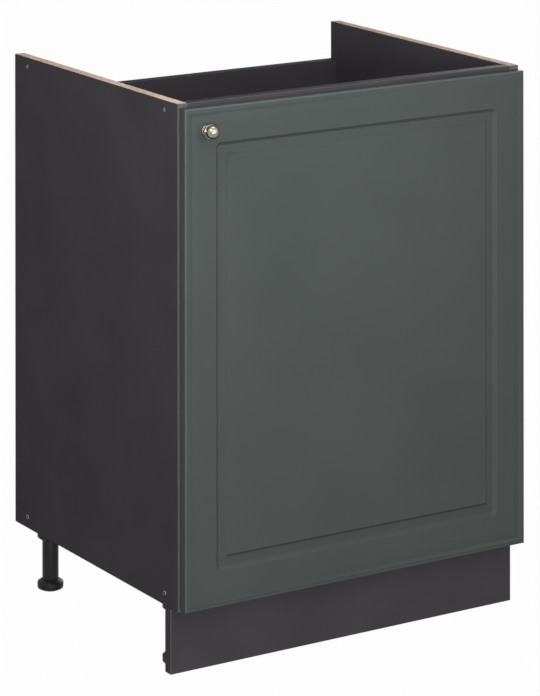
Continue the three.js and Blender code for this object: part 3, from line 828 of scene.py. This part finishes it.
def make_legs():
    """The four legs; the sockets and tubes on the left are mirrored."""
    socket, tube, foot = leg_socket(), leg_tube(), leg_foot()
    screw = screw_head("plate_screw", **LEG_SCREW)
    for side, sign in SIDES.items():
        for row in ROWS:
            axis = box_of(f"leg_tube_{side}_{row}")[2]
            move = (axis.x, axis.y, 0)
            for kind, template in (("socket", socket), ("tube", tube)):
                node = f"leg_{kind}_{side}_{row}"
                piece = twin(template, f"{node}_moulded", move, mirrored=sign < 0)
                finished(piece, "carcass", "black_plastic", BLACK, node)
            node = f"leg_foot_{side}_{row}"
            piece = twin(foot, f"{node}_moulded", move)
            finished(piece, f"foot_{side}_{row}", "black_plastic", BLACK, node)
            low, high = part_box(f"leg_socket_{side}_{row}")
            under = high.z - LEG_PLATE_THICKNESS * MM
            inset = LEG_SCREW_INSET * MM
            heads = [
                place_copy(screw, "head", (x, y, under), DOWN)
                for x in (low.x + inset, high.x - inset)
                for y in (low.y + inset, high.y - inset)
            ]
            heads = joined(f"leg_plate_screws_{side}_{row}", *heads)
            finished(heads, "carcass", "steel", STEEL)
    for template in (socket, tube, foot, screw):
        remove(template)


def make_clips():
    """The two clips that hold the plinth to the front legs."""
    for side in SIDES:
        node = f"plinth_clip_{side}"
        clip = dressed(node, f"{node}_moulded", CLIP_EASING)
        finished(clip, "carcass", "black_plastic", BLACK, node)


# ---------------------------------------------------------------- door

# (inset from the board's edge, depth behind its front)
DOOR_ARRIS = [
    (0.0, 2.4), (0.1, 1.9), (0.38, 1.45), (0.85, 1.1), (1.45, 0.95), (2.2, 0.9), (3.2, 0.9),
]
DOOR_BORDER = [
    (4.6, 0.92), (4.9, 0.85), (5.4, 0.2), (5.8, 0.04), (6.6, 0.08), (7.8, 0.4), (9.2, 0.95),
    (10.4, 1.25), (11.6, 1.28), (14.0, 0.9), (17.5, 0.35), (21.0, 0.06), (23.0, 0.0),
]
DOOR_BACK_EASING = 0.8
EDGE_REACH = 0.9  # how far from the board's outline a face still has the darker film of the painted shade
HIGHLIGHT_REACH = 2.2  # and one on the top or left front arris the lighter film of the painted highlight
FRAME_WIDTH = 50.8
GROOVE_WIDTH = 21.6
GROOVE_CORNER = 9.0
GROOVE_CORNER_STEPS = 10
CORNER_REACH = 1.5  # round a corner that has shrunk, within which its points are merged
FIELD_REACH = 20  # round the middle of the field, within which its own face's centre is
FIELD_DEPTH = 5
GROOVE_OUTER_WALL = 5.6
GROOVE_OUTER_DEPTH = 5.2
GROOVE_INNER_WALL = 4.5
GROOVE_INNER_DEPTH = 4.7
# (share of a groove wall's width, share of its depth)
GROOVE_WALL = [(0.0, 0.0), (0.04, 0.015), (0.1, 0.075), (0.86, 0.9), (0.93, 0.96), (1.0, 1.0)]

CUP_STEPS = 64
CUP_BORE_RADIUS = 17.8
CUP_BORE_DEPTH = 12.3
CUP_RIM = 19.3  # radius of a hinge cup's rim, from the middle of its bore


def groove_wall(width, depth):
    """A wall of the groove: straight, with its upper edge eased and its foot rounded."""
    return [(across * width, down * depth) for across, down in GROOVE_WALL]


def inset_steps(points, start):
    """Insets the selected face step by step, each point an inset and a depth behind the front."""
    inset, depth = start
    for next_inset, next_depth in points:
        bpy.ops.mesh.inset(
            thickness=(next_inset - inset) * MM,
            depth=(depth - next_depth) * MM,
            use_even_offset=True,
        )
        inset, depth = next_inset, next_depth


def corners_of(field):
    """The four corners of the selected face's box."""
    mesh = bmesh.from_edit_mesh(field.data)
    points = [vertex.co for face in mesh.faces if face.select for vertex in face.verts]
    xs = [point.x for point in points]
    zs = [point.z for point in points]
    return [Vector((x, points[0].y, z)) for x in (min(xs), max(xs)) for z in (min(zs), max(zs))]


def door_frame(low, high):
    """The door's board with its front arris and border, open where the field lies."""
    frame_board = block("door_front", (low.x, low.y + DOOR_ARRIS[0][1] * MM, low.z), high)
    edit(frame_board)
    pick_faces(frame_board, lambda centre, normal: normal.y < -SQUARE)
    inset_steps(DOOR_ARRIS[1:] + DOOR_BORDER, DOOR_ARRIS[0])
    bpy.ops.mesh.delete(type="FACE")
    leave()
    return frame_board


def door_field(low, high):
    """The field of the door with the groove round it.

    The groove's outer corners are round and its inner ones sharp, because the round ones have
    shrunk to a point where its floor turns.
    """
    clear_selection()
    bpy.ops.mesh.primitive_plane_add(
        size=1,
        location=((low.x + high.x) / 2, low.y, (low.z + high.z) / 2),
        rotation=(math.pi / 2, 0, 0),
    )
    field = bpy.context.object
    frame_both_sides = 2 * FRAME_WIDTH * MM
    field.scale = (high.x - low.x - frame_both_sides, high.z - low.z - frame_both_sides, 1)
    settle(field)
    edit(field, "VERT")
    pick_all()
    bpy.ops.mesh.bevel(
        offset=GROOVE_CORNER * MM, segments=GROOVE_CORNER_STEPS, affect="VERTICES"
    )
    bpy.ops.mesh.select_mode(type="FACE")
    pick_all()
    turn_inset = GROOVE_CORNER - 0.02
    floor_width = GROOVE_WIDTH - GROOVE_INNER_WALL - GROOVE_OUTER_WALL
    floor_share = (turn_inset - GROOVE_OUTER_WALL) / floor_width
    turn_depth = GROOVE_OUTER_DEPTH + (GROOVE_INNER_DEPTH - GROOVE_OUTER_DEPTH) * floor_share
    turn = (turn_inset, turn_depth)
    outer = groove_wall(GROOVE_OUTER_WALL, GROOVE_OUTER_DEPTH)
    inset_steps(outer[1:] + [turn], outer[0])
    for corner in corners_of(field):
        pick_vertices(field, lambda point: (point - corner).length < CORNER_REACH * MM)
        bpy.ops.mesh.merge(type="CENTER")
    middle = Vector(((low.x + high.x) / 2, low.y + FIELD_DEPTH * MM, (low.z + high.z) / 2))
    pick_faces(field, lambda centre, normal: (centre - middle).length < FIELD_REACH * MM)
    inner = [
        (GROOVE_WIDTH - inset, depth)
        for inset, depth in reversed(groove_wall(GROOVE_INNER_WALL, GROOVE_INNER_DEPTH))
    ]
    inset_steps(inner, turn)
    leave()
    return field


def on_edge(point, low, high):
    """True on the four flat edges of the board, behind its front arris."""
    behind_arris = point.y > low.y + DOOR_ARRIS[0][1] * MM
    walls = (point.x - low.x, high.x - point.x, point.z - low.z, high.z - point.z)
    return behind_arris and min(walls) < EDGE_REACH * MM


def on_highlit_arris(point, low, high):
    """True on the front arris of the top and of the opening side, which get a lighter film as a
    painted highlight.
    """
    on_arris = point.y < low.y + DOOR_ARRIS[0][1] * MM
    return on_arris and min(point.x - low.x, high.z - point.z) < HIGHLIGHT_REACH * MM


def make_door():
    """The milled door with its bores for the hinge cups and its film."""
    low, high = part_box("door_panel")
    frame_board = door_frame(low, high)
    door = joined("door_front", door_field(low, high), frame_board)
    edit(door, "EDGE")
    bpy.ops.mesh.select_all(action="DESELECT")
    bpy.ops.mesh.select_non_manifold()
    bpy.ops.mesh.fill(use_beauty=False)
    face_outwards()
    pick_edges(door, lambda a, b: level(a.y, high.y) and level(b.y, high.y))
    ease(DOOR_BACK_EASING, segments=3)
    leave()
    for hinge in HINGES:
        _, cup_high, cup_middle = box_of(f"hinge_cup_{hinge}")
        bore = (cup_high.x - CUP_RIM * MM, high.y, cup_middle.z)
        boolean(door, cutting_rod(CUP_STEPS, CUP_BORE_RADIUS, 2 * CUP_BORE_DEPTH, bore, REARWARD))
    door.data.materials.append(FILM)
    paint(door, BOARD_BACK, lambda centre, normal: normal.y > SQUARE and level(centre.y, high.y))
    # painted shade: the darker film on the four edges
    paint(door, EDGE_SHADE_FILM, lambda centre, normal: on_edge(centre, low, high))
    # painted highlight: the lighter film on the top and left front arrises
    paint(door, ARRIS_HIGHLIGHT_FILM, lambda centre, normal: on_highlit_arris(centre, low, high))
    smooth(door, degrees=30, weighted=True)
    finished(door, "door", "door_board", FILM, "door_panel")


# ---------------------------------------------------------------- knob and bumpers

KNOB = [
    (0, 0), (6.8, 0), (7.0, 0.15), (7.0, 0.95), (6.75, 1.3), (5.9, 1.75), (4.9, 2.5),
    (4.25, 3.6), (4.0, 5.0), (4.05, 6.4), (4.5, 7.8), (5.8, 9.2), (8.0, 10.4), (9.8, 11.3),
    (10.3, 12.1), (10.25, 12.9), (9.6, 13.5), (8.0, 13.9), (7.2, 14.5), (7.2, 15.8),
    (7.6, 16.3), (8.6, 16.7), (9.2, 17.1), (9.45, 17.7), (9.5, 18.6), (9.35, 19.8),
    (8.95, 21.3), (8.25, 22.8), (7.25, 24.3), (5.9, 25.7), (4.35, 26.8), (2.65, 27.55),
    (1.1, 27.92), (0, 28),
]
KNOB_RECESSES = [(1.6, 9.4), (13.4, 18.0)]
KNOB_SCREW = {"radius": 4.0, "height": 1.5}
BUMPER = [
    (0, 0), (3.9, 0), (4.0, 0.15), (3.85, 0.6), (3.4, 1.25), (2.7, 1.7), (1.6, 1.95), (0, 2.0),
]


def in_recess(distance):
    """True behind the knob's foot, collar or head, where the nickel is darker: painted shade and
    painted dark reflection.
    """
    return any(start < distance < end for start, end in KNOB_RECESSES)


def make_knob():
    """The turned knob on the door's front, and its screw's head on the door's back."""
    door_low, door_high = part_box("door_panel")
    middle = box_of("knob")[2]
    place = (middle.x, door_low.y, middle.z)
    knob = turned("knob_turned", KNOB, place, FORWARD, steps=64, degrees=40)
    knob.data.materials.append(NICKEL)
    # the recesses get the darker nickel: painted shade and painted dark reflection
    paint(knob, NICKEL_RECESS_SHADE, lambda centre, normal: in_recess((door_low.y - centre.y) / MM))
    finished(knob, "door", "nickel", NICKEL, "knob")
    head = screw_head("knob_screw_head", **KNOB_SCREW)
    put(head, (middle.x, door_high.y, middle.z), REARWARD)
    finished(head, "door", "steel", STEEL, "knob_screw")


def make_bumpers():
    """The two soft pads on the door's back, near its opening side."""
    for row in HINGES:
        node = f"door_bumper_{row}"
        low, _, middle = box_of(node)
        pad = turned(f"{node}_pad", BUMPER, (middle.x, low.y, middle.z), REARWARD)
        finished(pad, "door", "clear_plastic", SILICONE, node)


# ---------------------------------------------------------------- hinges

CUP = [
    (0, -12.0), (13.4, -12.0), (15.6, -11.5), (17.0, -10.2), (17.5, -8.2), (17.5, 0),
    (19.15, 0), (CUP_RIM, 0.15), (CUP_RIM, 0.6), (19.1, 0.9), (16.5, 0.9), (16.0, 0.4),
    (15.9, -0.4), (15.9, -8.0), (15.2, -9.8), (13.4, -11.0), (11.6, -11.2), (0, -11.2),
]
CUP_RIM_THICKNESS = 0.9
CUP_SCREW = {"radius": 3.4, "height": 0.95}
CUP_SCREW_STEP = 24
WING_CENTRE = 9.5
WING_HALF = 6.5
WING_CORNER = 5
WING_EASING = 0.2
WING_GAP = 0.02  # between the wings and the door's back
WING_SINK = 0.01  # of the wings below the cup's rim
CUP_SCREW_SINK = 0.05
WING_ROOM_RADIUS = 17.0
WING_ROOM_LENGTH = 4
MOUNT_THICKNESS = 3.5
MOUNT_SCREW = {"radius": 3.3, "height": 1.3}
MOUNT_SCREW_STEP = 20
ARM_SCREW = {"radius": 4.0, "height": 1.4}
# a hinge's pressed pieces: the body each rides on, and its easing
PRESSED_PIECES = {
    "cup_pin": ("door", 0),
    "link": ("hinge_links", 0.3),
    "arm": ("carcass", 0.25),
    "arm_pin": ("carcass", 0),
    "plate": ("carcass", 0.3),
}


def cup_wings(low, high, centre):
    """The flat plate whose two wings stand out above and below a cup, with room for the cup."""
    wing_x = centre.x - WING_CENTRE * MM
    wings = block(
        "wings",
        (wing_x - WING_HALF * MM, centre.y + WING_GAP * MM, low.z),
        (wing_x + WING_HALF * MM, high.y - WING_SINK * MM, high.z),
    )
    edit(wings)
    pick_edges(wings, lambda a, b: abs(a.y - b.y) > 0.5 * MM)
    ease(WING_CORNER, segments=8)
    pick_edges(wings, lambda a, b: min(a.y, b.y) > high.y - 2 * WING_SINK * MM)
    ease(WING_EASING)
    leave()
    boolean(wings, cutting_rod(CUP_STEPS, WING_ROOM_RADIUS, WING_ROOM_LENGTH, centre, REARWARD))
    return wings


def screw_pair(name, head, middle, step, direction, body):
    """Two screw heads as one piece, one as far below their middle as the other is above it."""
    heads = [
        place_copy(head, "head", Vector(middle) + Vector((0, 0, way * step * MM)), direction)
        for way in (-1, 1)
    ]
    finished(joined(name, *heads), body, "steel", STEEL)


def make_hinges():
    """The cups with their wings, the pressed arms, links and plates, and all their screws."""
    cup_screw = screw_head("cup_screw", **CUP_SCREW)
    mount_screw = screw_head("mount_screw", **MOUNT_SCREW)
    for hinge in HINGES:
        node = f"hinge_cup_{hinge}"
        low, high, middle = box_of(node)
        centre = Vector((high.x - CUP_RIM * MM, high.y - CUP_RIM_THICKNESS * MM, middle.z))
        cup = turned(f"{node}_pressed", CUP, centre, REARWARD, steps=CUP_STEPS)
        boolean(cup, cup_wings(low, high, centre), "UNION")
        smooth(cup, weighted=True)
        finished(cup, "door", "steel", HINGE_STEEL, node)
        place = (centre.x - WING_CENTRE * MM, high.y - CUP_SCREW_SINK * MM, centre.z)
        name = f"hinge_cup_screws_{hinge}"
        screw_pair(name, cup_screw, place, CUP_SCREW_STEP, REARWARD, "door")
        for kind, (body, easing) in PRESSED_PIECES.items():
            node = f"hinge_{kind}_{hinge}"
            piece = dressed(node, f"{node}_pressed", easing)
            finished(piece, body, "steel", HINGE_STEEL, node)
        low, high, middle = box_of(f"hinge_plate_{hinge}")
        place = (high.x - MOUNT_THICKNESS * MM, middle.y, middle.z)
        name = f"hinge_plate_screws_{hinge}"
        screw_pair(name, mount_screw, place, MOUNT_SCREW_STEP, LEFTWARD, "carcass")
        node = f"hinge_arm_screw_{hinge}"
        low, high, middle = box_of(node)
        arm_screw = screw_head(f"{node}_turned", **ARM_SCREW)
        put(arm_screw, (low.x + ARM_SCREW["height"] * MM, middle.y, middle.z), LEFTWARD)
        finished(arm_screw, "carcass", "steel", STEEL, node)
    remove(cup_screw)
    remove(mount_screw)


# ---------------------------------------------------------------- floor, light and camera

FLOOR_SIZE = 40
FLOOR_SHARE = 0.98  # how much of what is seen of the floor is plain white
AMBIENT = 0.01
FULL_WHITE = 1.0

DOOR_MIDDLE = (0, -0.1, 0.45)
# each lamp's place, what it points at, its width and its power in watts
LAMPS = {
    "front_box": ((-0.15, -1.0, 1.06), DOOR_MIDDLE, 1.06, 6.2),
    "left_box": ((-2.36, -4.39, 0.99), DOOR_MIDDLE, 1.0, 140),
    "upper_left_box": ((-1.26, -0.56, 1.8), DOOR_MIDDLE, 0.66, 9.6),
    "right_rear_box": ((2.2, 1.6, 1.1), (0, 0, 0.45), 1.2, 30),
    "top_box": ((-0.05, -0.15, 1.9), (-0.05, -0.15, 0.8), 0.4, 2.4),
}

CAMERA_TURN = 31.7752  # degrees from the cabinet's depth to the line that the back is square to
CAMERA_PLACE = (-2.72407, -4.26166, 1.70568)
LENS_ASIDE = 0.01342  # how far the lens points to the right and down, for each metre ahead
LENS_DOWN = 0.26125
BACK_LEAN = 0.00088
SENSOR_WIDTH = 36
FOCAL_LENGTH = 177.86


def background_rays(nodes, links):
    """1 for what the camera, a reflection or clear plastic sees, 0 for what lights the object."""
    path = nodes.new("ShaderNodeLightPath")
    seen = path.outputs["Is Camera Ray"]
    for ray in ("Is Glossy Ray", "Is Transmission Ray"):
        either = nodes.new("ShaderNodeMath")
        either.operation = "MAXIMUM"
        links.new(seen, either.inputs[0])
        links.new(path.outputs[ray], either.inputs[1])
        seen = either.outputs["Value"]
    return seen


def make_floor():
    """A pale floor that the camera sees as nearly white, with the cabinet's shadow."""
    clear_selection()
    bpy.ops.mesh.primitive_plane_add(size=FLOOR_SIZE, location=(0, 0, 0))
    floor = bpy.context.object
    floor.name = "floor"
    made = bpy.data.materials.new("pale_floor")
    made.use_nodes = True
    nodes, links = made.node_tree.nodes, made.node_tree.links
    shader = nodes["Principled BSDF"]
    shader.inputs["Base Color"].default_value = grey(0.12)
    shader.inputs["Roughness"].default_value = 0.9
    white = nodes.new("ShaderNodeEmission")
    white.inputs["Strength"].default_value = FULL_WHITE
    share = nodes.new("ShaderNodeMath")
    share.operation = "MULTIPLY"
    share.inputs[1].default_value = FLOOR_SHARE
    links.new(background_rays(nodes, links), share.inputs[0])
    mixed = nodes.new("ShaderNodeMixShader")
    links.new(share.outputs["Value"], mixed.inputs["Fac"])
    links.new(shader.outputs["BSDF"], mixed.inputs[1])
    links.new(white.outputs["Emission"], mixed.inputs[2])
    links.new(mixed.outputs["Shader"], nodes["Material Output"].inputs["Surface"])
    floor.data.materials.append(made)


def make_world():
    """A world that is white to look at and lights the cabinet faintly."""
    world = bpy.context.scene.world or bpy.data.worlds.new("studio")
    bpy.context.scene.world = world
    world.use_nodes = True
    nodes, links = world.node_tree.nodes, world.node_tree.links
    lit = nodes["Background"]
    seen = nodes.new("ShaderNodeBackground")
    for background, strength in ((lit, AMBIENT), (seen, FULL_WHITE)):
        background.inputs["Color"].default_value = grey(1)
        background.inputs["Strength"].default_value = strength
    mixed = nodes.new("ShaderNodeMixShader")
    links.new(background_rays(nodes, links), mixed.inputs["Fac"])
    links.new(lit.outputs["Background"], mixed.inputs[1])
    links.new(seen.outputs["Background"], mixed.inputs[2])
    links.new(mixed.outputs["Shader"], nodes["World Output"].inputs["Surface"])


def make_lamps():
    """The square soft boxes, each turned to what it points at."""
    for name, (place, target, width, power) in LAMPS.items():
        clear_selection()
        bpy.ops.object.light_add(type="AREA", location=place)
        lamp = bpy.context.object
        lamp.name = name
        lamp.data.shape = "SQUARE"
        lamp.data.size = width
        lamp.data.energy = power
        lamp.rotation_mode = "QUATERNION"
        aim = Vector(target) - Vector(place)
        lamp.rotation_quaternion = aim.to_track_quat("-Z", "Y")


def make_camera():
    """A view camera: its back stands upright, so that upright edges stay parallel in the picture.

    The lens looks down and slightly to the right of the line that the back is square to. That
    slant is in the matrix between the camera and its stand.
    """
    turn = math.radians(CAMERA_TURN)
    right = Vector((math.cos(turn), -math.sin(turn), 0))
    ahead = Vector((math.sin(turn), math.cos(turn), 0))
    lens_axis = (ahead + LENS_ASIDE * right - LENS_DOWN * Vector(UP)).normalized()
    up = Vector(UP) + BACK_LEAN * right
    slant = Matrix.Identity(4)
    for column, axis in enumerate((right, up, -lens_axis, Vector(CAMERA_PLACE))):
        for row in range(3):
            slant[row][column] = axis[row]
    stand = bpy.data.objects.new("camera_stand", None)
    data = bpy.data.cameras.new("camera")
    data.sensor_width = SENSOR_WIDTH
    data.lens = FOCAL_LENGTH
    data.clip_start = 0.1
    data.clip_end = 100
    camera = bpy.data.objects.new("camera", data)
    for thing in (stand, camera):
        bpy.context.scene.collection.objects.link(thing)
    camera.parent = stand
    camera.matrix_parent_inverse = slant
    bpy.context.scene.camera = camera


make_camera()
make_boards()
make_edge_bands()
make_plinth()
make_screws_and_caps()
make_cams()
make_legs()
make_clips()
make_door()
make_knob()
make_bumpers()
make_hinges()
make_floor()
make_world()
make_lamps()

bpy.context.scene.view_settings.view_transform = "Standard"
